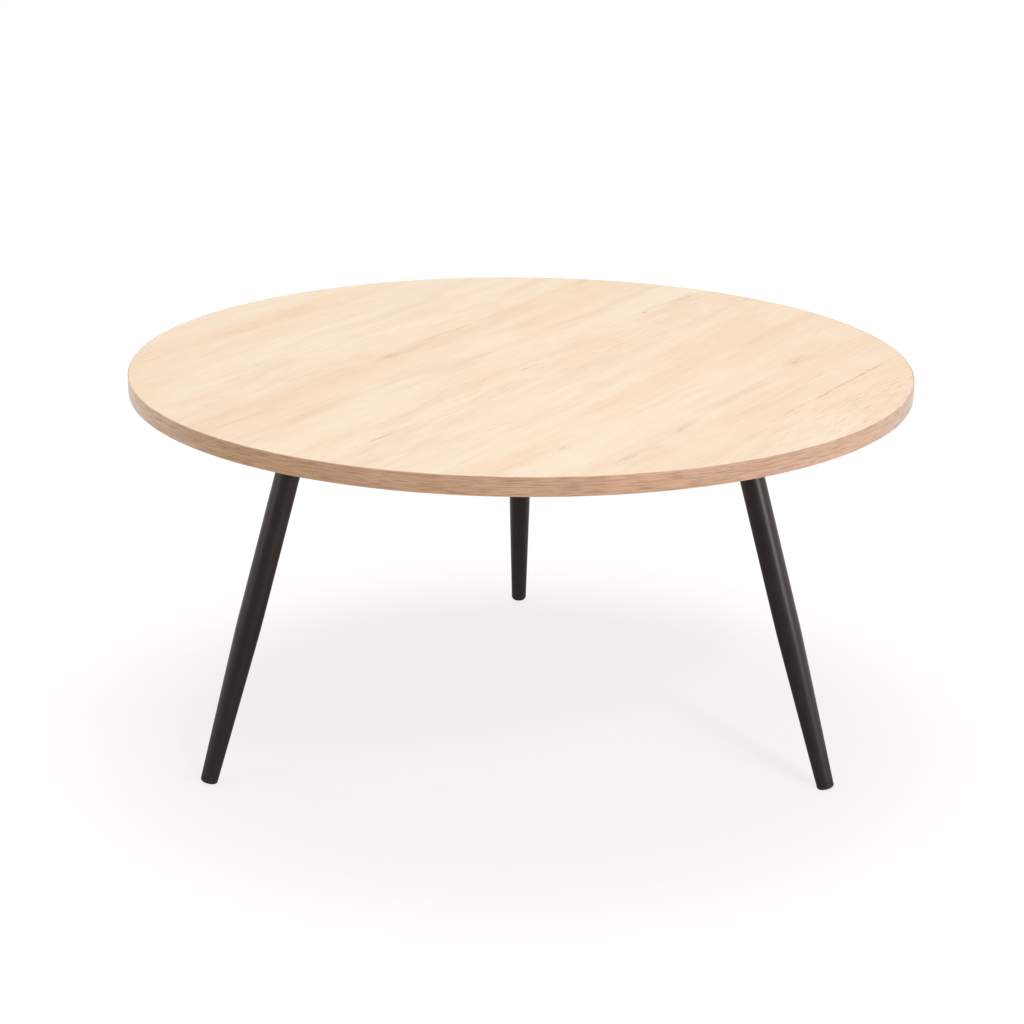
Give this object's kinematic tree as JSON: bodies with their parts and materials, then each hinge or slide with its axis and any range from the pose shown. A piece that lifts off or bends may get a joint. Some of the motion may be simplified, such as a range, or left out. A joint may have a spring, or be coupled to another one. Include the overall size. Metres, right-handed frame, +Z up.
{
  "type": "round cocktail table",
  "caption": "Low round cocktail table: light oak laminated disc top with edging strip on splayed tapered black steel tube legs with plastic glides.",
  "frame": {"origin": "on the floor, under the middle of the round top", "axes": "+Z up, +Y towards the back leg, +X to the right as seen from the front, where the two front legs stand left and right"},
  "size_m": [0.8, 0.8, 0.396],
  "materials": {
    "particleboard": "raw pressed chips",
    "oak_decor": "matte light oak decor laminate",
    "oak_backing": "matte light oak balancing laminate",
    "oak_edging": "satin oak-print edging strip",
    "black_powder_coat": "fine-textured satin black powder coat",
    "black_plastic": "moulded black plastic",
    "black_bolt": "black-oxide steel",
    "zinc": "bright zinc-plated steel"
  },
  "bodies": {
    "root": {"top_core": "particleboard", "top_laminate": "oak_decor", "backing_laminate": "oak_backing", "edge_band": "oak_edging", "leg_tube_back": "black_powder_coat", "leg_plate_back": "black_powder_coat", "leg_weld_back": "black_powder_coat", "foot_glide_back": "black_plastic", "plate_bolts_back": "black_bolt", "bolt_washers_back": "zinc", "threaded_inserts_back": "zinc", "leg_tube_left": "black_powder_coat", "leg_plate_left": "black_powder_coat", "leg_weld_left": "black_powder_coat", "foot_glide_left": "black_plastic", "plate_bolts_left": "black_bolt", "bolt_washers_left": "zinc", "threaded_inserts_left": "zinc", "leg_tube_right": "black_powder_coat", "leg_plate_right": "black_powder_coat", "leg_weld_right": "black_powder_coat", "foot_glide_right": "black_plastic", "plate_bolts_right": "black_bolt", "bolt_washers_right": "zinc", "threaded_inserts_right": "zinc"}
  },
  "joints": []
}
